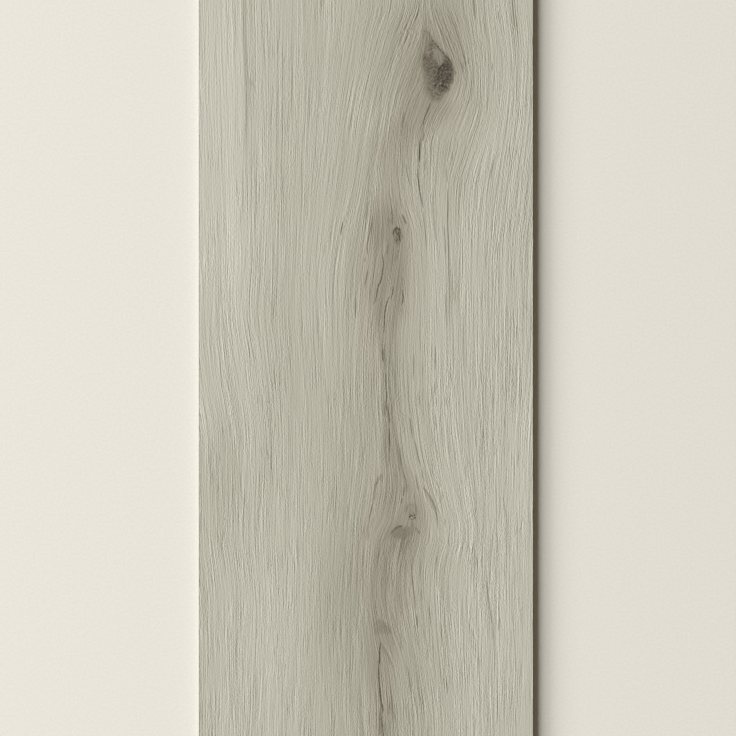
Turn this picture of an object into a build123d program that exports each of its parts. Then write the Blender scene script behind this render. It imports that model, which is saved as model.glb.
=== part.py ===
# Vinyl floor plank: one flat laminated board, pressed and cut as a single piece.
# It lies face up, with its length along Y and its width along X.
# The origin is on the underside, below the middle of the face.
import os

from build123d import *

# Driving dimensions, in millimetres
plank_length = 1220.0
plank_width = 180.0
plank_thickness = 5.0
# Small 45 degree bevel round the printed face, which hides the joint between two laid planks
face_bevel = 0.4


def square_cut_board():
    """The board as it leaves the die: square edges and square corners, lying on its underside."""
    outline = Rectangle(plank_width, plank_length)
    return extrude(outline, amount=plank_thickness)


def ease_face_edges(board):
    """Bevels the four edges round the face. The edges round the underside stay square."""
    face = board.faces().sort_by(Axis.Z)[-1]
    return chamfer(face.edges(), length=face_bevel)


vinyl_plank = ease_face_edges(square_cut_board())

os.makedirs("parts", exist_ok=True)
export_step(vinyl_plank, "parts/vinyl_plank.step")
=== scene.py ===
import math
from functools import partial

import bpy
import numpy as np
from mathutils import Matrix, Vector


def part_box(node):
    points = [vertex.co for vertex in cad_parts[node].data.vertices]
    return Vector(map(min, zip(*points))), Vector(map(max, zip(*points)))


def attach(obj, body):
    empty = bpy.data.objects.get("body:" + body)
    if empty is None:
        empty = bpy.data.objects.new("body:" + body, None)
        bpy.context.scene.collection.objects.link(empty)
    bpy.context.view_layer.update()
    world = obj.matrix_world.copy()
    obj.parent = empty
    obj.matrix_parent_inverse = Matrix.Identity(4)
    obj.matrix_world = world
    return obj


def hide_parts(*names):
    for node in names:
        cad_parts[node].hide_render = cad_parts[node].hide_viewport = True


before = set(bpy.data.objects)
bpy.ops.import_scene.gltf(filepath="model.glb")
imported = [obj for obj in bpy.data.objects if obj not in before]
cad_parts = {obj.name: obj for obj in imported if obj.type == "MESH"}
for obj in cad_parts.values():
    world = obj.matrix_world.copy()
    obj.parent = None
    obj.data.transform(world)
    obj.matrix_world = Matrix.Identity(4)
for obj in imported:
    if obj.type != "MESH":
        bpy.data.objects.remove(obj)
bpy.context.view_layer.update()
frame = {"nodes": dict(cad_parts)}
mm = 0.001
print("frame loaded:", ", ".join(frame["nodes"]))

# Board: everything about the mesh, in mm
nodeLow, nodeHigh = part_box("vinyl_plank")
board = {
    "piece": "oakPlank",
    "halfWidth": (nodeHigh.x - nodeLow.x) / 2 / mm,
    "halfLength": (nodeHigh.y - nodeLow.y) / 2 / mm,
    "thickness": (nodeHigh.z - nodeLow.z) / mm,
    "bevel": 0.4,  # same bevel round the face as the solid has
    "bevelPaintedShade": 6.0,  # painted shade: the bevel is made browner, so that its lit side shows as a thin dark line
    "columns": 252,
    "placeSamples": 1500,  # places on a row from which the columns are chosen
    "crowding": 12.0,  # how much closer the columns stand along a dark line
    "crowdMost": 1.2,
    "crowdLeast": 0.001,  # weaker crowding than this is left out
    "crowdWidth": 0.9,
    "crowdLength": 5.0,
    "crowdLevel": 8,  # a line as brown as this draws the columns fully
    "blotCrowding": 0.4,  # how much of that the outline of a blot does
    "drawStep": 0.5,  # spacing of the places that draw the columns
    "rowSpans": [(-215, 24), (-158, 24), (-132, 26), (-93, 18), (-82, 14), (-78, 12), (-76, 3), (-56, 24),
                 (28, 34), (50, 24), (60, 6), (88, 38), (128, 18), (180, 64),
                 (215, 14)],  # rows up to each place along, close at knots
    "lastRows": 26,
    "embossDepth": 0.025,
    "embossPitch": 4.0,  # width and length of the broad pressed lines
    "embossLength": 50,
    "embossFlat": 0.35,  # share of the face that stays flat, roughly
    "crackDepth": 0.12,
    "seed": 41,
}

# Grain flow: the lines below, and how they are read
flow = {
    "margin": 40,  # one more line this far outside each side, so that the flow goes on past the edges
    "rowSamples": 1200,
    "lineSamples": 600,
    "slantWider": 0.7,  # slanted lines stand further apart, by this power of two
    "slantFrom": 0.1,  # slant, aside for each mm along, where that begins and where it is full
    "slantFull": 0.4,
    "runGain": 14,  # lines run longer towards the far end
    "runTurn": -20,
    "runReach": 60,
}

# Grain lines from left to right, each a list of (along, across) in mm from the middle of the face.
# A line's own number is the place where it crosses the middle (along = 0).
grainLines = [
    [(610, -80), (360, -81), (198, -85), (135, -84), (72, -81.5), (27, -81), (0, -78.5), (-43, -72.5),
     (-86, -72.5), (-129, -69), (-198, -69.5), (-340, -74), (-610, -77)],
    [(610, -59), (360, -60), (198, -63), (139, -61.5), (62, -61.5), (36, -63), (0, -59), (-49, -55),
     (-90, -56), (-129, -54), (-198, -56.5), (-340, -58), (-610, -58)],
    [(610, -40), (198, -38), (144, -38.5), (54, -40.5), (29, -41), (0, -40), (-47, -38.5), (-111, -38.5),
     (-198, -40), (-610, -38.5)],
    [(610, -26), (360, -21.5), (198, -16), (129, -21), (65, -27), (40, -28.5), (0, -27), (-40, -26),
     (-90, -27), (-133, -28.5), (-198, -28.5), (-610, -26)],
    [(610, -12), (360, 2), (252, 14), (198, 17.5), (175, 11), (140, 1.5), (97, -5.5), (72, -10.5),
     (47, -13.5), (0, -14), (-54, -14), (-90, -15), (-136, -17.5), (-198, -17), (-610, -13)],
    [(610, 1), (360, 14), (252, 27), (198, 29.5), (182, 25.6), (170, 21), (158, 16.4), (146, 13), (128, 9.6),
     (108, 7), (72, 5), (45, 2), (0, -1), (-40, -0.5), (-82, -5), (-108, -6.5), (-144, -8), (-198, -9),
     (-340, -3), (-610, 0)],
    [(610, 14), (360, 22.5), (252, 30.5), (198, 31.7), (182, 30.2), (170, 26.4), (158, 21.4), (146, 17.8),
     (128, 14.8), (108, 13.5), (90, 14.5), (72, 18), (45, 15), (20, 12), (0, 12), (-43, 15), (-66, 18),
     (-79, 16), (-93, 11), (-118, 8.5), (-140, 11.5), (-158, 16), (-198, 20), (-340, 16), (-610, 13)],
    [(610, 26), (360, 30), (198, 33.2), (176, 33), (165, 33), (157, 31.8), (148, 27.8), (138, 24),
     (128, 21.5), (108, 20), (90, 21.5), (72, 26), (45, 26.5), (0, 25), (-42, 28.5), (-66, 34), (-82, 38),
     (-92, 37.8), (-102, 35.4), (-112, 34), (-150, 36.5), (-198, 40), (-340, 31.5), (-610, 26)],
    [(610, 37.5), (360, 37.5), (198, 36), (175, 43), (156, 48.5), (148, 46.5), (132, 38.5), (119, 35),
     (97, 34.5), (65, 36.5), (26, 37.5), (0, 37.5), (-43, 40), (-74, 45), (-86, 47), (-92, 47), (-102, 45),
     (-114, 43.5), (-198, 47.5), (-340, 42), (-610, 39)],
    [(610, 51.5), (360, 55), (198, 60), (162, 63), (144, 63), (119, 57), (97, 51), (72, 50), (0, 50.5),
     (-44, 53), (-76, 57), (-88, 58.2), (-100, 57), (-122, 56), (-198, 57), (-340, 54), (-610, 51.5)],
    [(610, 64.5), (198, 71.5), (162, 75), (137, 73), (90, 66), (54, 63.5), (0, 63.5), (-72, 65),
     (-198, 65.5), (-610, 64.5)],
    [(610, 78.5), (198, 84.5), (165, 86.5), (144, 86), (97, 81), (62, 77.5), (0, 76.5), (-54, 75),
     (-198, 75), (-610, 77.5)],
]

# Brown heart of the log: along, middle, half width left, half width right, strength
heartBand = [
    (610, 26, 12, 12, 0.1), (360, 30, 14, 14, 0.2), (252, 33, 16, 16, 0.35), (198, 34, 15, 16, 0.3),
    (184, 34, 17, 17, 0.75), (165, 37, 19, 14, 0.9), (141, 34, 15, 14, 0.75), (117, 15, 9, 12, 0.35),
    (98, 12, 9, 6, 0.35), (82, 13, 11, 8.5, 0.9), (63, 14, 11, 8.5, 0.9), (42, 13, 11, 9.5, 0.9),
    (26, 11, 6.5, 6.5, 1.2), (12, 12, 4.5, 4.5, 0.85), (-28, 13, 4.5, 4, 0.95), (-49, 15, 5.5, 5, 0.95),
    (-60, 16, 9.5, 11, 0.65), (-76, 19, 16, 16, 0.8), (-95, 17, 15, 11, 0.95), (-120, 10, 9.5, 11, 0.9),
    (-138, 8.5, 8.5, 9.5, 1.0), (-160, 8.5, 8.5, 7.5, 0.95), (-184, 8.5, 5.5, 6.5, 0.9),
    (-232, 8.5, 5.5, 6.5, 0.7), (-340, 10, 5.5, 5.5, 0.35), (-610, 12, 5, 5, 0.1),
]
heartFade = (0.5, 1.4)  # shares of the half width between which the brown fades out

# Warm hue round the heart: along, left side, right side, strength
warmBand = [
    (610, 14, 38, 0.1), (300, 14, 46, 0.3), (192, 8, 49, 0.45), (174, 16, 54, 1.0), (140, 15, 54, 1.0),
    (123, 6, 36, 0.85), (105, 1, 20, 0.5), (88, 5, 27, 0.9), (71, -3, 27, 1.0), (37, -5, 27, 1.0),
    (19, -5, 18, 1.0), (2, 0, 14, 0.6), (-32, 6, 17.5, 0.75), (-50, 5, 23, 0.8), (-67, -1, 35, 1.0),
    (-84, -3, 35, 1.0), (-101, -8, 28, 1.0), (-118, -5, 26, 1.0), (-136, 0, 21, 1.0), (-153, -2, 18, 1.0),
    (-170, 3, 16, 0.75), (-187, -2, 14, 0.75), (-300, 4, 14, 0.4), (-610, 6, 16, 0.1),
]
warmSoft = 4  # half width of its soft sides

# Broad shades of the print: across, along, half width, half length, change of tone
shades = [
    (9, 160, 15, 42, -0.14), (55, 165, 13, 55, -0.09), (44, 118, 7, 15, -0.06), (29, -155, 13, 62, -0.15),
    (-11, -108, 12, 55, -0.12), (-5, 60, 7, 30, -0.12), (-42, 0, 9, 55, -0.05), (85, -70, 12, 130, 0.07),
    (-87, -28, 7, 26, 0.06), (-18, 165, 14, 50, -0.05), (38, -101, 9, 14, -0.06), (-62, 65, 8, 38, 0.04),
    (-70, 165, 8, 45, 0.035), (-50, -135, 13, 48, 0.045), (72, -95, 22, 110, 0.035), (-86, -78, 7, 25, 0.045),
    (57, 98, 16, 16, -0.05), (35, 112, 6, 18, -0.07),
]

# How strongly the grain is pressed: across, along, half width, half length, change from the usual
presses = [
    (-77, 175, 20, 75, -0.32), (-26, 40, 15, 300, -0.2), (64, 95, 20, 95, 0.16), (54, -120, 22, 75, 0.28),
    (86, -160, 7, 60, -0.44), (29, 34, 9, 50, -0.32), (-62, -25, 20, 40, 0.12), (-84, -178, 8, 30, -0.14),
    (24, -77, 6, 8, -0.5), (18.5, -88, 7, 5, -0.5), (22, -84, 5, 5, -0.3), (45, 143, 7, 11, -0.45),
    (21, 178, 8, 20, 0.65), (43, 188, 10, 11, 0.5), (-84, 122, 8, 25, -0.28), (-31, 98, 8, 50, -0.2),
    (46, 98, 8, 45, -0.28), (-45, -172, 8, 30, -0.15), (66, -25, 14, 30, 0.45),
    (84, 125, 6, 90, 0.25), (72, -95, 8, 50, 0.18), (21, 25, 6, 22, -0.22),
]

# Soft brown stains: across, along, half width, half length, brown
stains = [
    (10.5, 69, 6, 12, 0.65), (16, 56, 5, 12, 0.55), (14, 42, 7, 8, 0.35), (20.3, 30.5, 3.2, 6, 0.6),
    (20, -89, 8, 5, 0.5), (37, 140, 7, 8, 0.35), (33.8, 177.2, 2.4, 3.6, 1.0),
    (30.6, 171, 2.6, 6, 0.3), (46.5, 146, 4.5, 9, -0.38), (31.4, 155, 2.0, 8, 0.8),
]

# Blots of the print, painted in this order: outline, softness of its edge, brown, grey
blots = {
    "bigKnot": ([(34.9, 177.0), (39.9, 170.6), (44.3, 166.0), (46.4, 161.4), (46.0, 155.0), (44.7, 150.7),
                 (42.0, 146.4), (38.8, 143.7), (34.8, 145.0), (32.0, 150.0), (31.6, 157.1), (30.4, 161.4),
                 (29.8, 166.0), (31.1, 169.5), (32.9, 173.3)], 2.2, 3.7, 0.5),
    "bigKnotCore": ([(36.6, 161.8), (40.5, 164.2), (43.9, 165.7), (45.9, 162.5), (46.2, 158.2), (45.2, 153.8),
                     (42.8, 149.8), (39.6, 148.8), (36.6, 151.2), (36.0, 156.6)], 2.1, 6.85, 1.0),
    "bigKnotWedge": ([(36.4, 171.7), (38.0, 172.2), (40.5, 169.0), (41.6, 165.7), (40.4, 163.3),
                      (38.6, 162.4), (37.1, 165.7)], 1.1, 1.5, 0.3),
    "bigKnotLobe": ([(31.0, 168.4), (33.1, 168.2), (35.5, 166.0), (37.3, 163.0), (37.0, 159.6), (34.2, 158.6),
                     (31.7, 161.4), (30.5, 165.0)], 2.0, 4.6, 0.5),
    "eye": ([(14.6, 74.8), (16.5, 75.9), (18.6, 74.3), (19.4, 70.5), (18.9, 67.3), (16.7, 65.6),
             (14.9, 68.3)], 1.0, 2.9, 0.0),
    "ringEye": ([(22.0, -73.2), (26.8, -73.5), (27.6, -77), (27.0, -81.2), (22.6, -81.2), (21.6, -77)],
                1.8, 1.5, 0.0),
    "arcs": ([(13.7, -89.3), (15.7, -86.8), (18.1, -85.4), (20.5, -86.0), (22.9, -86.3), (23.6, -89.0),
              (22.0, -91.3), (17.5, -91.7), (14.2, -90.8)], 1.1, 2.5, 0.0),
    "cutTip": ([(7.7, -134.8), (10.8, -138.3), (13.5, -142.1), (10.3, -143.1), (7.0, -142.6), (4.4, -142.6),
                (5.2, -139.4)], 1.2, 1.9, 0.0),
}

# Dark lines and light specks in the heart, drawn in this order: brown, half width, points
marks = [
    # big knot
    (8.6, 0.5, [(34.7, 177.6), (35.2, 176.8), (37.9, 173.5), (40.6, 170.2), (43.0, 167.9), (45.5, 164.7),
                (46.8, 161.3)]),
    (3.2, 0.38, [(36.5, 174.1), (37.7, 172.0), (39.8, 169.2)]),
    (2.6, 1.0, [(31.5, 181.9), (34.6, 178.9), (36.1, 176.2)]),
    (5.2, 0.6, [(34.6, 175.2), (35.0, 173.3), (35.6, 170.6), (36.3, 167.4)]),
    (0.6, 1.0, [(32.1, 170.1), (33.8, 169.2)]),
    (9.4, 0.65, [(41.0, 155.0), (41.7, 153.5), (41.1, 151.6)]),
    (-1.0, 0.95, [(40.0, 153.9), (40.2, 152.5)]),
    (10.0, 0.44, [(34.8, 142.4), (33.2, 138.6), (32.0, 135.6), (31.1, 133.1), (30.7, 130.8)]),
    (3.6, 0.45, [(48.6, 159.7), (48.9, 158.4)]),
    (4.6, 0.4, [(51.9, 164.7), (52.1, 159.7)]),
    (4.0, 0.4, [(54.8, 166.3), (55.0, 163.0)]),
    # below the big knot
    (6.0, 0.42, [(20.9, 137.8), (20.0, 134.1), (19.3, 129.1)]),
    (6.0, 0.42, [(31.3, 126.7), (30.5, 122.2)]),
    (12.0, 0.5, [(29.0, 122.3), (28.8, 118.1), (28.6, 110.5)]),
    (8.4, 0.45, [(27.9, 108.5), (27.8, 103.5), (28.4, 98.8), (29.0, 94.0), (30.2, 88.5), (30.9, 86.0)]),
    (4.2, 0.46, [(31.0, 85.0), (31.4, 78.0), (32.0, 71.0), (32.3, 65.1)]),
    (5.6, 0.42, [(21.5, 109.5), (21.9, 105.7), (22.9, 101.0), (23.3, 99.0)]),
    (3.2, 0.45, [(32.0, 112.0), (31.8, 107.5)]),
    # right of the eye
    (3.8, 0.48, [(35.6, 96.0), (36.0, 84.0), (36.9, 74.0), (37.3, 68.0)]),
    (4.0, 0.46, [(41.9, 76.5), (42.5, 68.0), (42.7, 60.0)]),
    (3.4, 0.46, [(42.6, 41.0), (43.0, 31.0), (43.2, 24.0)]),
    (3.0, 0.42, [(42.9, 107.5), (43.6, 99.5)]),
    (3.6, 0.42, [(43.8, 95.5), (44.2, 86.0), (43.8, 78.0)]),
    # eye
    (11.2, 0.55, [(15.1, 73.5), (15.8, 74.7), (16.6, 75.3), (17.7, 74.9), (18.5, 73.6), (18.7, 72.4)]),
    (11.2, 0.5, [(17.4, 73.5), (17.8, 71.8), (18.0, 69.9), (18.4, 68.0)]),
    (9.8, 0.42, [(15.8, 74.2), (16.5, 72.3), (17.3, 71.3)]),
    (1.0, 0.45, [(16.8, 73.9), (17.2, 73.1)]),
    (9.0, 0.48, [(16.8, 69.7), (16.3, 68.0)]),
    (9.0, 0.55, [(15.1, 74.2), (14.7, 72.6), (14.6, 71.4)]),
    (7.0, 0.44, [(13.4, 85.2), (14.2, 81.6), (14.0, 79.2), (14.6, 76.7)]),
    (8.0, 0.48, [(19.6, 82.5), (20.8, 79.2), (21.6, 77.2)]),
    (2.6, 0.45, [(0.5, 88.3), (0.3, 84.0), (-0.6, 79.6)]),
    (-0.7, 0.8, [(2.2, 75.5), (0.9, 70.0), (-0.3, 64.5)]),
    (7.0, 0.42, [(3.6, 82.0), (3.1, 78.7), (2.6, 75.3), (1.4, 70.5), (0.5, 65.7), (0.7, 62.4),
                 (0.9, 60.9)]),
    (5.0, 0.4, [(0.4, 59.9), (-1.0, 57.6)]),
    (-0.7, 0.8, [(10.5, 68.0), (10.4, 61.4)]),
    (5.6, 0.42, [(11.4, 67.0), (11.3, 61.0)]),
    (3.6, 0.5, [(18.0, 64.5), (17.2, 62.5), (16.6, 58.0)]),
    # knee under the eye
    (10.0, 0.48, [(8.8, 60.8), (9.4, 56.1), (8.8, 50.8), (8.0, 47.0), (6.7, 44.4), (6.0, 41.4),
                  (5.4, 37.8), (4.6, 34.6)]),
    (2.2, 0.8, [(8.6, 37.3), (8.3, 33.0), (8.0, 26.8)]),
    (6.4, 0.45, [(14.6, 44.1), (14.4, 41.2), (13.9, 38.8), (13.2, 37.1)]),
    (10.4, 0.5, [(12.7, 38.8), (11.2, 35.0), (10.4, 31.6), (10.0, 27.8), (9.8, 23.4), (9.7, 19.1)]),
    (3.4, 0.45, [(19.6, 48.9), (19.4, 43.1)]),
    (9.6, 0.47, [(19.5, 42.0), (19.8, 39.8), (20.0, 37.8), (19.6, 35.5), (19.0, 34.5)]),
    (6.3, 0.42, [(1.1, 53.2), (0.2, 48.9), (-0.8, 43.4)]),
    # narrow neck
    (2.0, 0.55, [(4.4, 31.5), (4.0, 25.8), (3.9, 19.2), (4.3, -5.3), (4.5, -25.8)]),
    (2.4, 0.8, [(8.8, 18.8), (8.8, 10.4)]),
    (11.5, 0.48, [(8.9, 11.2), (9.0, 4.0)]),
    (4.6, 0.42, [(10.0, 12.2), (10.2, -1.6)]),
    (4.6, 0.7, [(10.5, -2.4), (10.7, -11.0)]),
    (8.4, 0.46, [(11.1, -11.2), (11.0, -15.6), (10.7, -19.2), (10.6, -24.2)]),
    (8.4, 0.46, [(11.6, -20.0), (12.1, -23.8), (12.5, -28.0), (12.6, -31.4)]),
    (10.2, 0.52, [(12.6, -32.4), (12.5, -38.7), (12.6, -44.8)]),
    (4.6, 0.5, [(12.5, -45.6), (12.3, -51.4)]),
    (3.2, 0.5, [(9.9, -20.4), (9.7, -26.0)]),
    (1.9, 1.0, [(9.9, -30.6), (9.4, -52.0)]),
    (2.6, 0.6, [(13.3, 4.0), (14.6, 0.9), (15.9, -5.3), (16.4, -10.4), (17.6, -15.6), (18.7, -24.9),
                (19.7, -31.0), (20.7, -35.4)]),
    (2.2, 1.0, [(17.6, -41.3), (18.2, -46.5), (19.2, -53.0)]),
    # right of the neck
    (3.8, 0.42, [(25.6, 7.0), (25.6, 3.0), (25.3, -6.6)]),
    (2.6, 0.42, [(30.5, 3.2), (30.5, -5.6)]),
    (3.5, 0.42, [(36.9, -7.5), (37.0, -14.0)]),
    (3.5, 0.42, [(37.3, -24.8), (37.5, -32.3)]),
    (3.6, 0.42, [(28.2, -11.3), (28.5, -21.0)]),
    # where the heart opens again
    (6.8, 0.42, [(23.6, -27.0), (24.1, -31.5), (24.9, -37.0)]),
    (5.8, 0.42, [(26.3, -39.4), (26.9, -42.3), (27.9, -47.5), (29.5, -53.2)]),
    (4.4, 0.42, [(29.7, -54.2), (30.5, -58.3), (31.1, -60.6)]),
    (7.4, 0.42, [(20.4, -63.4), (20.4, -66.1), (19.9, -69.1)]),
    (7.4, 0.42, [(19.4, -69.8), (19.0, -72.8)]),
    (5.8, 0.42, [(19.9, -55.8), (20.8, -58.7), (21.7, -61.8), (22.0, -64.2), (22.0, -67.4)]),
    (4.0, 0.55, [(26.6, -57.2), (27.0, -59.9), (27.7, -63.6), (28.4, -66.4)]),
    (4.2, 0.75, [(30.0, -63.6), (32.3, -66.4), (34.2, -69.2), (35.9, -72.3), (37.3, -75.7), (37.9, -79.4),
                 (38.4, -83.1), (38.8, -86.0)]),
    (3.0, 1.1, [(9.0, -56.5), (7.0, -59.3), (5.4, -62.1), (4.7, -65.1), (4.4, -69.2), (3.6, -73.6)]),
    (3.4, 0.5, [(8.9, -57.4), (8.1, -61.8)]),
    (6.8, 0.52, [(3.6, -72.8), (2.7, -76.9), (1.9, -80.0), (1.5, -83.8)]),
    (2.6, 0.8, [(1.6, -83.0), (0.9, -87.4), (0.7, -93.0)]),
    (2.2, 0.7, [(4.0, -80.0), (3.0, -86.0)]),
    (4.4, 0.42, [(40.8, -65.8), (41.3, -70.4)]),
    (4.0, 0.42, [(42.4, -81.4), (42.4, -84.6)]),
    (3.5, 0.42, [(39.6, -61.2), (39.4, -63.9)]),
    # ring
    (2.3, 0.9, [(21.8, -74.4), (23.6, -73.4), (25.6, -73.4), (27.0, -74.4)]),
    (2.2, 0.8, [(27.0, -74.4), (27.4, -77.0), (27.1, -79.4)]),
    (2.6, 1.0, [(22.4, -73.5), (21.5, -76.2), (21.3, -78.2)]),
    (5.0, 0.5, [(23.2, -80.9), (24.6, -81.4), (25.8, -81.0)]),
    (9.0, 0.5, [(25.5, -80.6), (26.9, -80.4)]),
    (4.4, 0.5, [(25.2, -78.7), (25.7, -77.4)]),
    (3.6, 0.5, [(23.6, -79.2), (23.5, -77.8)]),
    (0.1, 0.5, [(24.2, -80.5), (25.2, -80.6)]),
    (9.0, 0.46, [(23.7, -79.7), (24.5, -79.1), (25.4, -79.9)]),
    (14.0, 0.7, [(23.2, -80.1), (23.8, -79.8)]),
    (14.0, 0.7, [(25.8, -79.2), (26.4, -79.0)]),
    (6.0, 0.8, [(13.2, -89.2), (14.9, -87.2), (16.6, -85.7), (17.8, -85.0), (18.9, -85.2), (19.9, -85.9)]),
    (3.6, 0.6, [(21.4, -85.0), (22.8, -85.9), (23.1, -87.3)]),
    (4.6, 0.6, [(26.4, -85.6), (27.7, -87.7), (29.1, -89.2)]),
    (2.5, 1.5, [(24.5, -81.6), (25.1, -86.0), (24.8, -90.8)]),
    # below the ring
    (4.4, 0.46, [(23.1, -91.6), (22.8, -93.9), (22.4, -95.9)]),
    (3.2, 0.5, [(16.6, -91.7), (16.0, -93.9), (15.2, -97.0), (14.4, -100.2)]),
    (3.2, 0.5, [(20.6, -94.5), (19.9, -97.9), (19.5, -100.8)]),
    (2.8, 0.5, [(25.7, -93.0), (24.5, -95.1), (23.7, -98.9)]),
    (4.6, 0.44, [(25.0, -101.0), (24.5, -106.0), (24.6, -110.0), (24.9, -114.4), (25.8, -121.2),
                 (26.9, -129.5)]),
    (3.2, 0.45, [(21.3, -102.8), (21.3, -111.9)]),
    (6.4, 0.42, [(27.3, -132.9), (27.8, -139.2)]),
    (4.0, 0.42, [(29.5, -118.6), (30.0, -125.0)]),
    (3.0, 0.42, [(29.0, -103.5), (29.2, -110.0), (29.5, -117.0)]),
    (3.2, 0.42, [(21.5, -125.0), (22.1, -128.9)]),
    # tip and cracks of the near end
    (2.9, 1.2, [(7.5, -135.2), (9.5, -137.2), (11.8, -140.1), (14.2, -143.2)]),
    (2.5, 1.0, [(7.6, -135.0), (6.0, -136.6), (4.2, -138.6)]),
    (0.2, 0.45, [(13.3, -140.2), (15.2, -145.2), (16.6, -151.2)]),
    (2.3, 0.8, [(13.4, -142.6), (14.4, -146.0), (15.0, -149.8)]),
    (-0.8, 0.8, [(8.9, -147.4), (12.6, -153.4), (15.3, -159.8), (17.5, -167.6)]),
    (4.2, 0.5, [(7.6, -147.0), (9.1, -149.5), (10.4, -151.6), (11.6, -154.4), (13.3, -157.9),
                (14.8, -161.1)]),
    (11.0, 0.58, [(7.6, -147.8), (7.4, -152.0), (7.3, -156.0), (6.8, -161.4)]),
    (9.0, 0.58, [(6.8, -160.8), (6.8, -165.7), (7.3, -171.6)]),
    (10.6, 0.76, [(7.2, -170.6), (7.7, -176.0), (8.1, -179.4), (8.8, -182.3), (9.1, -185.4)]),
    (3.4, 1.7, [(7.7, -182.0), (8.2, -190.0), (8.6, -200.0)]),
    (5.6, 0.42, [(7.3, -184.2), (7.3, -199.0)]),
    (8.2, 0.46, [(8.3, -187.8), (8.9, -193.1), (9.6, -199.0)]),
    (6.4, 0.42, [(12.5, -179.3), (12.8, -185.4)]),
    (0.2, 0.42, [(13.2, -184.9), (12.8, -191.2)]),
    # dashes right of the near end
    (4.6, 0.46, [(64.6, -115.6), (65.6, -122.2), (66.8, -130.9), (67.9, -138.2)]),
    (2.4, 0.44, [(67.9, -138.6), (68.3, -146.1)]),
    (2.6, 0.44, [(59.0, -100.8), (60.1, -106.1)]),
    (2.8, 0.44, [(71.9, -134.8), (71.0, -142.0)]),
    (3.2, 0.42, [(22.7, -159.7), (23.7, -173.4)]),
    (3.6, 0.42, [(30.0, -174.6), (30.6, -180.9)]),
    (2.8, 0.42, [(18.7, -146.2), (19.2, -151.3)]),
]


def smoothThrough(xs, ys, at):
    # cubic through the points that never swings past them
    xs, ys, at = np.asarray(xs, float), np.asarray(ys, float), np.asarray(at, float)
    step = np.diff(xs)
    rise = np.diff(ys) / step
    slope = np.zeros_like(ys)
    same = rise[:-1] * rise[1:] > 0
    early, late = 2 * step[1:] + step[:-1], step[1:] + 2 * step[:-1]
    safe = np.where(same, rise[:-1] * rise[1:], 1.0)
    inner = (early + late) * safe / np.where(same, early * rise[1:] + late * rise[:-1], 1.0)
    slope[1:-1] = np.where(same, inner, 0.0)
    slope[0], slope[-1] = rise[0], rise[-1]
    i = np.clip(np.searchsorted(xs, at) - 1, 0, len(xs) - 2)
    t = (at - xs[i]) / step[i]
    return ((2 * t**3 - 3 * t**2 + 1) * ys[i] + (t**3 - 2 * t**2 + t) * step[i] * slope[i]
            + (3 * t**2 - 2 * t**3) * ys[i + 1] + (t**3 - t**2) * step[i] * slope[i + 1])


def upThrough(points, column, at):
    # the points run from the far end to the near end, so they are turned round first
    ordered = sorted(points)
    return smoothThrough([p[0] for p in ordered], [p[column] for p in ordered], at)


def easeStep(low, high, value):
    t = np.clip((value - low) / (high - low), 0, 1)
    return t * t * (3 - 2 * t)


def bell(middle, wide, value):
    return np.exp(-((value - middle) / wide) ** 2)


def addSpots(value, spots, across, along):
    for x, y, wide, tall, change in spots:
        value = value + change * np.exp(-((across - x) / wide) ** 2 - ((along - y) / tall) ** 2)
    return value


def latticeNoise(across, along, seed, cells=256):
    # smooth random hills, 0 to 1, one lattice cell to each unit
    table = np.random.default_rng(seed).random((cells, cells))
    column, row = np.floor(across).astype(int), np.floor(along).astype(int)
    aside, onward = across - column, along - row
    aside, onward = aside * aside * (3 - 2 * aside), onward * onward * (3 - 2 * onward)
    left, right, low, high = column % cells, (column + 1) % cells, row % cells, (row + 1) % cells
    near = table[left, low] * (1 - aside) + table[right, low] * aside
    far = table[left, high] * (1 - aside) + table[right, high] * aside
    return near * (1 - onward) + far * onward


def linesOnRow(along):
    inner = np.array([upThrough(line, 1, along) for line in grainLines])
    return np.concatenate([[inner[0] - flow["margin"]], inner, [inner[-1] + flow["margin"]]])


lineNumbers = linesOnRow(0.0)


def lineThrough(across, along):
    # number of the grain line that passes through a place
    numbers = np.linspace(lineNumbers[0], lineNumbers[-1], flow["lineSamples"])
    return np.interp(across, smoothThrough(lineNumbers, linesOnRow(along), numbers), numbers)


def grainRun(along):
    # distance along the grain as its lines feel it
    return along - flow["runGain"] * np.log(np.cosh((along - flow["runTurn"]) / flow["runReach"]))


def warmthOf(across, along):
    left, right = upThrough(warmBand, 1, along), upThrough(warmBand, 2, along)
    inside = (easeStep(left - warmSoft, left + warmSoft, across)
              * easeStep(right + warmSoft, right - warmSoft, across))
    return inside * upThrough(warmBand, 3, along)


def heartBrown(across, along):
    middle = upThrough(heartBand, 1, along)
    left, right = upThrough(heartBand, 2, along), upThrough(heartBand, 3, along)
    away = across - middle
    reach = np.abs(away) / np.where(away < 0, left, right)
    brown = upThrough(heartBand, 4, along) * (1 - easeStep(*heartFade, reach))
    return addSpots(brown, stains, across, along)


# Dark beside the heart: change of tone, then its reach to each side in mm, how much that grows and where
besideHeart = {"change": -0.17, "left": (23, 17, (90, -110)), "right": (17, 5, (60, 160)), "endLoss": 0.6,
               "endFades": (230, 520)}
# Other broad bands: change of tone, then its shape and place in mm, across and along
toneBands = [
    (0.09, easeStep, (-60, -74), easeStep, (-30, 60)),
    (-0.1, easeStep, (-50, -80), bell, (-62, 34)),
    (0.04, bell, (-48, 14), easeStep, (-90, -150)),
]


def slowTone(across, along):
    def reach(side):
        least, gain, grows = besideHeart[side]
        return least + gain * easeStep(*grows, along)

    away = across - upThrough(heartBand, 1, along)
    beside = bell(0, np.where(away < 0, reach("left"), reach("right")), away)
    beside = beside * (1 - besideHeart["endLoss"] * easeStep(*besideHeart["endFades"], np.abs(along)))
    tone = 1 + besideHeart["change"] * beside
    for change, acrossShape, acrossAt, alongShape, alongAt in toneBands:
        tone = tone + change * (acrossShape(*acrossAt, across) * alongShape(*alongAt, along))
    return addSpots(tone, shades, across, along)


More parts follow.
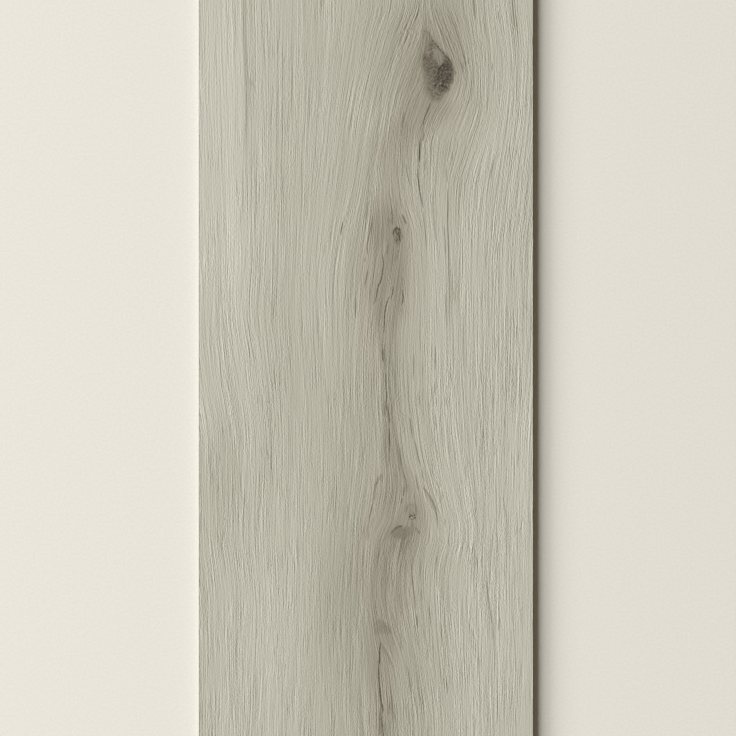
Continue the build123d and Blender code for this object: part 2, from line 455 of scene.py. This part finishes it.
def nearestTo(points, across, along):
    # distance to the line through the points, and the share of its length where the nearest point is
    best = np.full(across.shape, np.inf)
    place = np.zeros(across.shape)
    done = 0.0
    for (ax, ay), (bx, by) in zip(points[:-1], points[1:]):
        dx, dy = bx - ax, by - ay
        span = math.hypot(dx, dy)
        share = np.clip(((across - ax) * dx + (along - ay) * dy) / span**2, 0, 1)
        distance = np.hypot(across - ax - share * dx, along - ay - share * dy)
        place = np.where(distance < best, done + share * span, place)
        best = np.minimum(best, distance)
        done += span
    return best, place / done


def insideOf(points, across, along):
    inside = np.zeros(across.shape, bool)
    for (ax, ay), (bx, by) in zip(points, points[1:] + points[:1]):
        if ay != by:
            crossing = ax + (along - ay) * (bx - ax) / (by - ay)
            inside ^= ((ay > along) != (by > along)) & (across < crossing)
    return inside


# How the drawn figure varies: width and length of the hills in mm, their seed, then the least and the range
figure = {
    "ragAcross": (1.3, 2.2, 5, -0.5, 1.0),  # how far the edge of a blot frays, in mm
    "ragAlong": (1.3, 2.2, 6, -0.8, 1.6),
    "mottle": (0.8, 1.3, 7, 0.82, 0.36),  # brown of a blot
    "flicker": (2.0, 5.0, 8, 0.7, 0.3),  # strength of a line
    "taperRise": 5,  # the higher, the shorter the tips of a line
    "lineWidth": (0.35, 0.5),  # share of the half width at a tip, and what the body adds
    "lineStrength": (0.3, 0.7),
    "fullLevel": 9,  # a line as brown as this is pressed in to the full depth
}


def figureOf(across, along):
    # brown of the whole print, the depth of its cracks and the grey of its knots, 0 to 1
    def vary(name):
        pitch, length, seed, least, reach = figure[name]
        return least + reach * latticeNoise(across / pitch, along / length, board["seed"] + seed)

    brown = heartBrown(across, along)
    ragX, ragY = across + vary("ragAcross"), along + vary("ragAlong")
    mottle, flicker = vary("mottle"), vary("flicker")
    tipWidth, bodyWidth = figure["lineWidth"]
    tipStrength, bodyStrength = figure["lineStrength"]
    grey = np.zeros_like(brown)
    for points, soft, level, greyness in blots.values():
        distance = nearestTo(points + points[:1], ragX, ragY)[0]
        signed = np.where(insideOf(points, ragX, ragY), distance, -distance)
        share = easeStep(-soft, soft, signed)
        brown = brown + (level * mottle - brown) * share
        grey = grey + (greyness - grey) * share
    depth = np.zeros_like(brown)
    for level, half, points in marks:
        distance, share = nearestTo(points, across, along)
        taper = np.clip(figure["taperRise"] * share * (1 - share), 0, 1) ** 0.5
        wide = half * (tipWidth + bodyWidth * taper)
        near = np.clip(1 - distance / wide, 0, 1) * (tipStrength + bodyStrength * taper) * flicker
        brown = brown + (level - brown) * near
        depth = np.maximum(depth, near * np.clip(level / figure["fullLevel"], 0, 1))
    return brown, depth, grey


def rowPlaces():
    end = board["halfLength"] - board["bevel"]
    spans, start = [], -end
    for stop, count in board["rowSpans"]:
        spans.append(np.linspace(start, stop, count, endpoint=False))
        start = stop
    spans.append(np.linspace(start, end, board["lastRows"]))
    return np.concatenate(spans)


def drawnPoints():
    # places along the dark lines and round the blots, with their share of crowding
    step = board["drawStep"]
    full = step / (board["crowdLength"] * math.sqrt(math.pi))
    lines = []
    for level, half, points in marks:
        lines.append((points, full * min(level / board["crowdLevel"], 1) ** 2))
    for points, soft, level, greyness in blots.values():
        lines.append((points + points[:1], board["blotCrowding"] * full))
    drawn = []
    for points, share in lines:
        for (ax, ay), (bx, by) in zip(points[:-1], points[1:]):
            steps = max(1, round(math.hypot(bx - ax, by - ay) / step))
            drawn += [(ax + (bx - ax) * i / steps, ay + (by - ay) * i / steps, share) for i in range(steps)]
    return np.array(drawn)


def faceGrid():
    # columns crowd together along the dark lines and round the blots, so that these stay crisp
    edge = board["halfWidth"] - board["bevel"]
    places = np.linspace(-edge, edge, board["placeSamples"])
    dense = np.linspace(lineNumbers[0], lineNumbers[-1], flow["rowSamples"])
    drawn = drawnPoints()
    rows = rowPlaces()
    across, number, spread = [np.empty((len(rows), board["columns"] + 1)) for i in range(3)]
    for r, along in enumerate(rows):
        share = drawn[:, 2] * bell(along, board["crowdLength"], drawn[:, 1])
        near = share > board["crowdLeast"]
        away = (places - drawn[near, 0, None]) / board["crowdWidth"]
        crowd = (share[near, None] * np.exp(-away**2)).sum(0)
        total = np.cumsum(1 + board["crowding"] * np.minimum(crowd, board["crowdMost"]))
        across[r] = np.interp(np.linspace(total[0], total[-1], board["columns"] + 1), total, places)
        lineX = smoothThrough(lineNumbers, linesOnRow(along), dense)
        number[r] = np.interp(across[r], lineX, dense)
        slant = smoothThrough(lineNumbers, linesOnRow(along + 0.5) - linesOnRow(along - 0.5), dense)
        slant = np.abs(np.interp(across[r], lineX, slant))
        stretch = np.interp(across[r], lineX, np.gradient(lineX, dense))
        widen = flow["slantWider"] * easeStep(flow["slantFrom"], flow["slantFull"], slant)
        spread[r] = np.log2(stretch) - widen
    return across, np.repeat(rows[:, None], board["columns"] + 1, 1), number, spread


def embossOf(number, along):
    # broad pressed lines, 0 on the flat of the face to 1 at the bottom of a line
    wide = latticeNoise(number / board["embossPitch"], along / board["embossLength"], board["seed"])
    return np.clip((wide - board["embossFlat"]) / (1 - board["embossFlat"]), 0, 1)


def readAll(items, name, wide=1, kind=np.int32):
    values = np.empty(len(items) * wide, kind)
    items.foreach_get(name, values)
    return values


def undersideFaces(low, rows, columns):
    # a strip of wide quads, with one many-sided face at each end
    nearRow, rightSide = low[:columns], low[columns - 1:columns - 1 + rows]
    farRow = low[columns + rows - 2:2 * columns + rows - 2]
    leftSide = low[:1] + low[:2 * columns + rows - 4:-1]
    under = [[leftSide[1], rightSide[1]] + nearRow[::-1]]
    under += [[leftSide[r], leftSide[r + 1], rightSide[r + 1], rightSide[r]] for r in range(1, rows - 2)]
    return under + [[rightSide[rows - 2], leftSide[rows - 2]] + farRow[::-1]]


faceSlot, edgeSlot, backSlot = 0, 1, 2


def buildBoard():
    across, along, number, spread = faceGrid()
    rows, columns = number.shape
    faceBrown, faceDepth, faceGrey = figureOf(across, along)
    pressedIn = board["embossDepth"] * embossOf(number, along)
    top = board["thickness"] - pressedIn - board["crackDepth"] * faceDepth
    faceCo = np.stack([across, along, top], 2).reshape(-1, 3)
    # border of the face, counter-clockwise seen from above
    index = np.arange(rows * columns).reshape(rows, columns)
    ring = np.concatenate([index[0, :-1], index[:-1, -1], index[-1, :0:-1], index[:0:-1, 0]])
    # side and underside rings: the border moved out by the bevel
    grow = np.array([board["halfWidth"], board["halfLength"]])
    border = faceCo[ring, :2]
    rim = np.where(np.isclose(np.abs(border), grow - board["bevel"]), np.sign(border) * grow, border)
    sideTop = np.column_stack([rim, np.full(len(rim), board["thickness"] - board["bevel"])])
    sideLow = np.column_stack([rim, np.zeros(len(rim))])
    co = np.concatenate([faceCo, sideTop, sideLow]) * mm
    count = len(ring)
    here, after = np.arange(count), (np.arange(count) + 1) % count
    firstSide, firstLow = len(faceCo), len(faceCo) + count
    quads = np.stack([index[:-1, :-1], index[:-1, 1:], index[1:, 1:], index[1:, :-1]], -1).reshape(-1, 4)
    bevelQuads = np.stack([firstSide + here, firstSide + after, ring[after], ring[here]], 1)
    sideQuads = np.stack([firstLow + here, firstLow + after, firstSide + after, firstSide + here], 1)
    faces = np.concatenate([quads, bevelQuads, sideQuads]).tolist()
    faces += undersideFaces((firstLow + here).tolist(), rows, columns)
    mesh = bpy.data.meshes.new(board["piece"])
    mesh.from_pydata(co.tolist(), [], faces)
    # the bevel cuts through the print, so it shares the material of the face
    slots = np.full(len(faces), faceSlot, np.int32)
    slots[len(quads) + count:len(quads) + 2 * count] = edgeSlot
    slots[len(quads) + 2 * count:] = backSlot
    mesh.polygons.foreach_set("material_index", slots)
    smooth = np.zeros(len(faces), bool)
    smooth[:len(quads)] = True
    mesh.polygons.foreach_set("use_smooth", smooth)
    # a crisp edge where the flat of the face meets its bevel
    onBorder = np.zeros(len(co), bool)
    onBorder[ring] = True
    edgeEnds = readAll(mesh.edges, "vertices", 2)
    sharp = mesh.attributes.new("sharp_edge", "BOOLEAN", "EDGE")
    sharp.data.foreach_set("value", onBorder[edgeEnds.reshape(-1, 2)].all(1))
    # grain and figure of the print, kept on the mesh for the material
    rimmed = np.concatenate([np.arange(rows * columns), ring, ring])  # the side rings repeat the border
    flatX, flatY = co[:, 0] / mm, co[:, 1] / mm
    corners = readAll(mesh.loops, "vertex_index")
    # painted shade on the bevel: its corners get extra brown, so that the lit bevel reads as a thin dark line
    paintedBevelShade = np.zeros(len(corners))
    paintedBevelShade[len(quads) * 4:(len(quads) + count) * 4] = board["bevelPaintedShade"]
    hue = warmthOf(across, along) + faceGrey
    storeVectors(mesh, "grain", "POINT", number.ravel()[rimmed], grainRun(flatY), spread.ravel()[rimmed])
    storeVectors(mesh, "figure", "CORNER", faceBrown.ravel()[rimmed][corners] + paintedBevelShade,
                 slowTone(flatX, flatY)[corners], hue.ravel()[rimmed][corners])
    pressed = mesh.attributes.new("pressed", "FLOAT", "POINT")
    press = addSpots(np.ones_like(flatX), presses, flatX, flatY)
    pressed.data.foreach_set("value", press.astype(np.float32))
    layOut(mesh, slots, corners)
    mesh.validate()
    piece = bpy.data.objects.new(board["piece"], mesh)
    bpy.context.scene.collection.objects.link(piece)
    print("board built:", rows, "rows,", columns, "columns,", len(faces), "faces")
    return piece


def storeVectors(mesh, name, domain, first, second, third):
    layer = mesh.attributes.new(name, "FLOAT_VECTOR", domain)
    layer.data.foreach_set("vector", np.stack([first, second, third], 1).astype(np.float32).ravel())


# One map for the whole board: face at the left, sides in narrow strips, underside at the right
bakeMap = {
    "margin": 0.004,
    "tall": 0.992,
    "faceWide": 0.82,
    "leftSide": 0.83, "rightSide": 0.85, "sideWide": 0.014,
    "nearEnd": 0.866, "farEnd": 0.882, "endWide": 0.012,
    "under": 0.9, "underWide": 0.096,
    "sideReach": 0.1,  # mm: a face whose middle is this close to a long side belongs to it
}


def layOut(mesh, slots, corners):
    layer = mesh.uv_layers.new(name="OFBake")
    starts, totals = readAll(mesh.polygons, "loop_start"), readAll(mesh.polygons, "loop_total")
    owner = np.repeat(np.arange(len(starts)), totals)
    co = readAll(mesh.vertices, "co", 3, np.float32).reshape(-1, 3)[corners] / mm
    alongShare = (co[:, 1] + board["halfLength"]) / (2 * board["halfLength"])
    acrossShare = (co[:, 0] + board["halfWidth"]) / (2 * board["halfWidth"])
    upShare = co[:, 2] / board["thickness"]
    middle = (np.add.reduceat(co, starts, axis=0) / totals[:, None])[owner]
    isEdge = slots[owner] == edgeSlot
    isLong = np.abs(middle[:, 0]) > board["halfWidth"] - bakeMap["sideReach"]
    u = bakeMap["margin"] + bakeMap["faceWide"] * acrossShare
    v = bakeMap["margin"] + bakeMap["tall"] * alongShare
    u = np.where(slots[owner] == backSlot, bakeMap["under"] + bakeMap["underWide"] * acrossShare, u)
    sideAt = np.where(middle[:, 0] < 0, bakeMap["leftSide"], bakeMap["rightSide"])
    u = np.where(isEdge & isLong, sideAt + bakeMap["sideWide"] * upShare, u)
    endAt = np.where(middle[:, 1] < 0, bakeMap["nearEnd"], bakeMap["farEnd"])
    u = np.where(isEdge & ~isLong, endAt + bakeMap["endWide"] * upShare, u)
    v = np.where(isEdge & ~isLong, bakeMap["margin"] + bakeMap["tall"] * acrossShare, v)
    layer.uv.foreach_set("vector", np.stack([u, v], 1).astype(np.float32).ravel())


# Shader helpers: a value goes on the socket, another node's output is wired to it
def put(socket, value):
    if isinstance(value, bpy.types.NodeSocket):
        socket.id_data.links.new(value, socket)
    else:
        socket.default_value = value


def fill(node, values):
    for name, value in values.items():
        put(node.inputs[name], value)


def treeOf(values):
    # the tree that the outputs among the values belong to
    return next(value.id_data for value in values if isinstance(value, bpy.types.NodeSocket))


def addNode(kind, *values, **settings):
    # the values fill the node's inputs in order
    node = treeOf(values).nodes.new("ShaderNode" + kind)
    for name, setting in settings.items():
        setattr(node, name, setting)
    for socket, value in zip(node.inputs, values):
        put(socket, value)
    return node.outputs[0]


def calc(operation, *values, clamp=False):
    return addNode("Math", *values, operation=operation, use_clamp=clamp)


plus, minus, times = partial(calc, "ADD"), partial(calc, "SUBTRACT"), partial(calc, "MULTIPLY")
over, power, timesPlus = partial(calc, "DIVIDE"), partial(calc, "POWER"), partial(calc, "MULTIPLY_ADD")


def ease(value, low, high, toLow=0.0, toHigh=1.0):
    return addNode("MapRange", value, low, high, toLow, toHigh, interpolation_type="SMOOTHSTEP")


def combine(x, y, z):
    return addNode("CombineXYZ", x, y, z)


def separate(vector):
    return tuple(addNode("SeparateXYZ", vector).node.outputs)


def blendColour(tree, share, under, cover, way="MIX"):
    node = tree.nodes.new("ShaderNodeMix")
    node.data_type, node.blend_type = "RGBA", way
    for place, value in ((0, share), (6, under), (7, cover)):
        put(node.inputs[place], value)
    return node.outputs[2]


def attribute(tree, name, output):
    node = tree.nodes.new("ShaderNodeAttribute")
    node.attribute_name = name
    return node.outputs[output]


def hills(vector, scale=1.0, detail=0.0, rough=0.5):
    node = vector.id_data.nodes.new("ShaderNodeTexNoise")
    fill(node, {"Vector": vector, "Scale": scale, "Detail": detail, "Roughness": rough})
    return node.outputs["Fac"]


def grainHills(across, along, pitch, length, seed):
    return hills(combine(over(across, pitch), over(along, length), seed))


def bumpOf(height, depth):
    node = height.id_data.nodes.new("ShaderNodeBump")
    fill(node, {"Height": height, "Distance": depth})
    return node.outputs[0]


def paint(red, green, blue):
    # screen colour, 0 to 255, as the linear colour that a shader takes
    def linear(level):
        share = level / 255
        return share / 12.92 if share <= 0.04045 else ((share + 0.055) / 1.055) ** 2.4
    return (linear(red), linear(green), linear(blue), 1.0)


def newMaterial(name):
    material = bpy.data.materials.new(name)
    material.use_nodes = True
    return material, material.node_tree, material.node_tree.nodes["Principled BSDF"]


def newGroup(name, outputs, **inputs):
    # inputs come with their usual values: one number, or three for a place
    tree = bpy.data.node_groups.new(name, "ShaderNodeTree")
    for socketName, value in inputs.items():
        kind = "NodeSocketVector" if isinstance(value, tuple) else "NodeSocketFloat"
        socket = tree.interface.new_socket(socketName, in_out="INPUT", socket_type=kind)
        socket.default_value = value
    for socketName in outputs:
        tree.interface.new_socket(socketName, in_out="OUTPUT", socket_type="NodeSocketFloat")
    return tree.nodes.new("NodeGroupInput").outputs, tree.nodes.new("NodeGroupOutput").inputs


def useGroup(name, **values):
    node = treeOf(values.values()).nodes.new("ShaderNodeGroup")
    node.node_tree = bpy.data.node_groups[name]
    fill(node, values)
    return node.outputs


def speckGroup():
    # fine noise: its plain level, and the specks that it makes of two colours, both 0 to 1
    given, out = newGroup("specks", ["Level", "Specks"], Place=(0.0, 0.0, 0.0), Fineness=1000.0,
                          Detail=1.0, Roughness=0.5)
    plainBelow, speckAbove = 0.3, 0.7
    level = hills(given["Place"], given["Fineness"], given["Detail"], given["Roughness"])
    put(out["Level"], level)
    put(out["Specks"], ease(level, plainBelow, speckAbove))


def streakGroup():
    # light and dark lines along the grain, about -1 to 1
    given, out = newGroup("streaks", ["Streak"], Across=0.0, Along=0.0, Pitch=2.0, Length=20.0, Seed=0.0)
    value = grainHills(given["Across"], given["Along"], given["Pitch"], given["Length"], given["Seed"])
    gain = 6.0  # the noise seldom goes further than a sixth from its middle
    put(out["Streak"], timesPlus(value, gain, -gain / 2))


def evenStreakGroup():
    # the same lines, doubled where the grain spreads out and halved where it closes up
    given, out = newGroup("evenStreaks", ["Streak"], Across=0.0, Along=0.0, Pitch=2.0, Length=20.0,
                          Seed=0.0, Spread=0.0)
    seedStep = 7.3
    whole = calc("FLOOR", given["Spread"])
    share = minus(given["Spread"], whole)
    rest = minus(1.0, share)
    total = 0.0
    for step, part in ((0.0, rest), (1.0, share)):
        octave = plus(whole, step)
        pitch = over(given["Pitch"], power(2.0, octave))
        seed = timesPlus(octave, seedStep, given["Seed"])
        value = useGroup("streaks", Across=given["Across"], Along=given["Along"], Pitch=pitch,
                         Length=given["Length"], Seed=seed)["Streak"]
        total = timesPlus(value, part, total)
    squares = timesPlus(share, share, times(rest, rest))
    put(out["Streak"], over(total, calc("SQRT", squares)))


def crackGroup():
    # one dark line that keeps to a grain line and tapers to both ends
    given, out = newGroup("grainCrack", ["Mask"], Across=0.0, Along=0.0, Line=0.0, From=0.0, To=1.0,
                          Width=0.5)
    leastWidth, bluntness, flatShare = 0.001, 0.6, 0.75
    away = calc("ABSOLUTE", minus(given["Across"], given["Line"]))
    span = minus(given["To"], given["From"])
    done = minus(given["Along"], given["From"])
    share = over(done, span, clamp=True)
    taper = times(share, minus(1.0, share))
    taper = power(times(taper, 4.0), bluntness)  # 1 half way along
    wide = timesPlus(given["Width"], taper, leastWidth)
    near = minus(1.0, over(away, wide), clamp=True)
    put(out["Mask"], times(ease(near, 0.0, flatShare), taper))


def poreGroup():
    # thin lines where a streak passes through its middle value, broken along the grain
    given, out = newGroup("pores", ["Mask"], Streak=0.0, Breaks=0.0, Width=0.4)
    gapBelow, wholeAbove = -0.5, 0.6
    away = calc("ABSOLUTE", given["Streak"])
    mask = minus(1.0, over(away, given["Width"]), clamp=True)
    put(out["Mask"], times(mask, ease(given["Breaks"], gapBelow, wholeAbove)))


speckGroup()
streakGroup()
evenStreakGroup()
crackGroup()
poreGroup()

# Thin dark lines away from the heart: a place on the line, across and along, its ends, half width, brown
thinLines = {
    "rightLong": (44, 80, 20, 106, 0.45, 2.2),
    "rightFar": (52.7, 12, -6, 30, 0.4, 2.0),
    "rightUpper": (37.3, 6, -2, 13, 0.45, 3.0),
    "rightSmall": (43.1, -18, -21, -15, 0.42, 2.8),
    "farRight": (68, 108, 101, 115, 0.4, 3.0),
    "lowMiddle": (40.5, -142, -150, -135, 0.5, 4.0),
    "lowMiddleRight": (43.6, -171, -176, -165, 0.45, 3.0),
    "lowInner": (34.3, -132, -140, -125, 0.42, 2.4),
    "topRight": (79.4, 190, 180, 200, 0.5, 2.6),
    "topMiddle": (58.4, 192, 187, 204, 0.45, 2.2),
    "topDash": (71.3, 189, 185, 193, 0.42, 2.4),
    "rightDash": (67.9, 161.5, 158.5, 165, 0.42, 2.6),
    "leftShort": (-13, 75, 71, 79, 0.45, 3.0),
    "kneeFar": (-5.5, 32, 26, 38, 0.45, 3.0),
    "leftStreak": (-64.5, 165, 112, 230, 1.6, 1.1),
}

# Lines of the grain, broad to fine: pitch and length in mm, seed, strength in the print, height in the bump
streakLayers = {
    "broad": (12.0, 200.0, 1.7, 0.019, 0.0),
    "coarse": (4.2, 90.0, 11.3, 0.018, 0.0),
    "medium": (1.7, 60.0, 23.1, 0.03, 0.14),
    "thread": (0.8, 60.0, 43.3, 0.02, 0.26),
    "fine": (0.5, 14.0, 37.9, 0.01, 0.32),
    "grit": (0.5, 1.6, 71.9, 0.01, 0.28),
}

# Thin lines in the grain: pitch, length, seed of the lines and of their breaks, width, strength, height
poreLayers = {
    "pore": ((2.3, 38.0, 51.3), (1.4, 22.0, 53.9), 0.42, -0.1, -1.0),
    # the ridge lines are raised in the bump, and their lighter colour is a painted highlight where a ridge
    # catches the light
    "ridgeWithPaintedHighlight": ((2.6, 56.0, 83.3), (1.6, 30.0, 87.1), 0.4, 0.06, 0.7),
}

oakFace = {
    "ground": paint(189.4, 186.8, 171.6),
    "brownDark": 0.79,  # what one step of brown does to the ground colour
    "redFall": 0.978,  # darks keep a little red and lose blue
    "blueFall": 1.15,
    "warm": (1.022, 0.978, 0.983),  # hue of the heart
    "warmGrowth": (-0.62, 0.7),  # how much of it shows: growth into the darks, and share on the ground
    "grey": (1.03, 0.985, 1.11),  # hue of the grey knot
    "wobble": (9.0, 30.0, 0.0),  # pitch, length and seed of the slow waver of the lines
    "wobbleReach": 0.24,
    "patches": (8.0, 24.0, 5.7),  # and of the patches where the lines are stronger or weaker
    "patchRange": (1.6, 0.2),  # their range and least strength, before they are kept from getting too weak
    "patchLeast": 0.4,
    "calm": (1.5, 3.2, 1.0, 0.15),  # browns between which the lines grow calm, as in a knot, and how far
    "ragged": 0.17,  # how far streaks break up the edges of the browns
    "raggedLines": (3.2, 22.0, 61.7),
    "shallow": 1.5,  # brown up to which they do, and above which the print is mottled
    "deepMost": 5.0,  # brown from which the mottling grows no more
    "mottled": 0.85,  # mottling of the knots
    "mottleFineness": 1500.0,
    "mottleRange": (4.0, -2.0),  # turns the noise into about -1 to 1
    "roughness": (-0.3, 0.62),  # change on light lines, which are a little shinier, and the usual value
    "specular": 0.35,
    "bumpDepth": 0.00008,
    "lineBump": -0.6,  # height of the thin dark lines
}


def oakFaceMaterial():
    material, tree, shader = newMaterial("oakFace")
    number, run, spread = separate(attribute(tree, "grain", "Vector"))
    brown, tone, warmth = separate(attribute(tree, "figure", "Vector"))
    place = tree.nodes.new("ShaderNodeTexCoord").outputs["Object"]
    wobble = grainHills(number, run, *oakFace["wobble"])
    line = timesPlus(wobble, oakFace["wobbleReach"], number)
    patch = grainHills(number, run, *oakFace["patches"])
    patch = calc("MAXIMUM", timesPlus(patch, *oakFace["patchRange"]), oakFace["patchLeast"])
    patch = times(patch, attribute(tree, "pressed", "Fac"))

    def streaks(pitch, length, seed):
        return useGroup("evenStreaks", Across=line, Along=run, Pitch=pitch, Length=length, Seed=seed,
                        Spread=spread)["Streak"]

    # light and dark lines along the grain
    height = 0.0
    streakSum = 0.0
    for pitch, length, seed, strength, relief in streakLayers.values():
        value = streaks(pitch, length, seed)
        streakSum = timesPlus(value, strength, streakSum)
        if relief:
            height = timesPlus(value, relief, height)
    for lines, breaks, width, strength, relief in poreLayers.values():
        value = useGroup("pores", Streak=streaks(*lines), Breaks=streaks(*breaks), Width=width)["Mask"]
        streakSum = timesPlus(value, strength, streakSum)
        height = timesPlus(value, relief, height)
    # pressed deeper in some patches than in others, and less in the knots
    calm = times(patch, ease(brown, *oakFace["calm"]))
    tone = times(tone, timesPlus(streakSum, calm, 1.0))

    # thin dark lines, then the browns, whose edges follow the streaks
    lineSum = 0.0
    along = over(separate(place)[1], mm)
    for x, y, low, high, half, level in thinLines.values():
        mask = useGroup("grainCrack", Across=number, Along=along, Line=float(lineThrough(x, y)),
                        From=low, To=high, Width=half)["Mask"]
        lineSum = timesPlus(mask, level, lineSum)
    shallow = calc("MINIMUM", brown, oakFace["shallow"])
    deep = calc("MAXIMUM", minus(brown, oakFace["shallow"]), 0.0)
    deep = calc("MINIMUM", deep, oakFace["deepMost"])
    brown = plus(brown, lineSum)
    shallow = times(shallow, calm)
    frayed = times(streaks(*oakFace["raggedLines"]), shallow)
    brown = timesPlus(frayed, oakFace["ragged"], brown)
    mottle = useGroup("specks", Place=place, Fineness=oakFace["mottleFineness"])["Level"]
    mottle = times(timesPlus(mottle, *oakFace["mottleRange"]), deep)
    brown = timesPlus(mottle, oakFace["mottled"], brown)
    # darkness, then the warm hue, which shows more the darker the print is
    dark = times(tone, power(oakFace["brownDark"], brown))
    warm = timesPlus(calc("LOGARITHM", dark, math.e), *oakFace["warmGrowth"])
    warm = times(warm, calc("MINIMUM", warmth, 1.0))
    tint = [power(share, warm) for share in oakFace["warm"]]
    grey = calc("MAXIMUM", minus(warmth, 1.0), 0.0)
    tint = [times(t, power(share, grey)) for t, share in zip(tint, oakFace["grey"])]
    falls = (oakFace["redFall"], 1.0, oakFace["blueFall"])
    shares = [times(t, power(dark, fall)) for t, fall in zip(tint, falls)]
    colour = blendColour(tree, 1.0, oakFace["ground"], combine(*shares), "MULTIPLY")
    rough = timesPlus(streakSum, *oakFace["roughness"])
    # the finest pressed lines
    height = times(height, calm)
    bump = bumpOf(timesPlus(lineSum, oakFace["lineBump"], height), oakFace["bumpDepth"])
    fill(shader, {"Base Color": colour, "Roughness": rough, "Specular IOR Level": oakFace["specular"],
                  "Normal": bump})
    print("oak face painted:", len(marks) + len(thinLines), "dark lines,", len(tree.nodes), "nodes")
    return material


# Filled vinyl where it was cut, and its back
cutEdge = {
    "name": "cutEdge",
    "low": paint(132, 126, 114), "high": paint(158, 152, 140),
    "fineness": 900.0, "detail": 3.0, "grit": 0.65,
    "roughness": 0.7, "specular": 0.5,
    "bumpDepth": 0.00005, "bumpFineness": 1400.0, "bumpDetail": 2.0,
}
backing = dict(cutEdge, name="backing", low=paint(104, 101, 95), high=paint(128, 124, 117), roughness=0.75,
               bumpFineness=700.0)


def speckledMaterial(look):
    # two close colours in fine specks, with a fine bump where the look has a depth for it
    material, tree, shader = newMaterial(look["name"])
    place = tree.nodes.new("ShaderNodeTexCoord").outputs["Object"]
    specks = useGroup("specks", Place=place, Fineness=look["fineness"], Detail=look["detail"],
                      Roughness=look["grit"])["Specks"]
    colour = blendColour(tree, specks, look["low"], look["high"])
    fill(shader, {"Base Color": colour, "Roughness": look["roughness"],
                  "Specular IOR Level": look["specular"]})
    if "bumpDepth" in look:
        fine = useGroup("specks", Place=place, Fineness=look["bumpFineness"], Detail=look["bumpDetail"])
        put(shader.inputs["Normal"], bumpOf(fine["Level"], look["bumpDepth"]))
    return material


plank = buildBoard()
plank.data.materials.append(oakFaceMaterial())
plank.data.materials.append(speckledMaterial(cutEdge))
plank.data.materials.append(speckledMaterial(backing))
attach(plank, "root")
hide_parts("vinyl_plank")

# Studio
paleFloor = {
    "name": "paleFloor",
    "low": paint(230.8, 227.1, 217.3), "high": paint(235.2, 231.7, 221.7),
    "fineness": 800.0, "detail": 1.0, "grit": 0.5,
    "roughness": 0.9, "specular": 0.1,
}
studio = {
    "floorHalf": 12.0,
    "lightDistance": 7.0,
    "lightPanels": [(20.0, 2.4, 540.0), (46.5, 3.8, 452.0)],  # elevation in degrees, height in m, watts
    "lightLength": 8.0,
    "lightColour": (0.955, 0.967, 0.992),
    "ambient": (0.15, 0.132, 0.1, 1.0),
    "photoWidth": 736,
    "plankPixels": (198.75, 533.6),  # edges of the face in the photograph
    "lens": 90.0,
    "sensor": 36.0,
}


def buildStudio():
    half = studio["floorHalf"]
    floorMesh = bpy.data.meshes.new("floor")
    floorCorners = [(-half, -half, 0), (half, -half, 0), (half, half, 0), (-half, half, 0)]
    floorMesh.from_pydata(floorCorners, [], [(0, 1, 2, 3)])
    floor = bpy.data.objects.new("floor", floorMesh)
    bpy.context.scene.collection.objects.link(floor)
    floorMesh.materials.append(speckledMaterial(paleFloor))

    # tall window on the left, in two panels
    away = studio["lightDistance"]
    for elevation, tall, watts in studio["lightPanels"]:
        lamp = bpy.data.lights.new("window", "AREA")
        lamp.shape = "RECTANGLE"
        lamp.size, lamp.size_y = tall, studio["lightLength"]
        lamp.energy = watts
        lamp.color = studio["lightColour"]
        light = bpy.data.objects.new("window", lamp)
        up = math.radians(elevation)
        light.location = (-away * math.cos(up), 0.0, away * math.sin(up))
        light.rotation_euler = (0.0, -(math.pi / 2 - up), 0.0)
        bpy.context.scene.collection.objects.link(light)

    world = bpy.data.worlds.new("studio")
    world.use_nodes = True
    world.node_tree.nodes["Background"].inputs["Color"].default_value = studio["ambient"]
    bpy.context.scene.world = world
    bpy.context.scene.view_settings.view_transform = "Standard"
    print("studio lit:", len(studio["lightPanels"]), "panels of light")


def buildCamera():
    left, right = studio["plankPixels"]
    pixel = (nodeHigh.x - nodeLow.x) / (right - left)  # metres to a pixel on the face
    data = bpy.data.cameras.new("overhead")
    data.lens, data.sensor_width = studio["lens"], studio["sensor"]
    camera = bpy.data.objects.new("overhead", data)
    height = studio["photoWidth"] * pixel * studio["lens"] / studio["sensor"]
    aside = (studio["photoWidth"] / 2 - (left + right) / 2) * pixel
    camera.location = (aside, 0.0, nodeHigh.z + height)
    bpy.context.scene.collection.objects.link(camera)
    bpy.context.scene.camera = camera
    print("camera", round(height, 3), "m above the face")


buildStudio()
buildCamera()
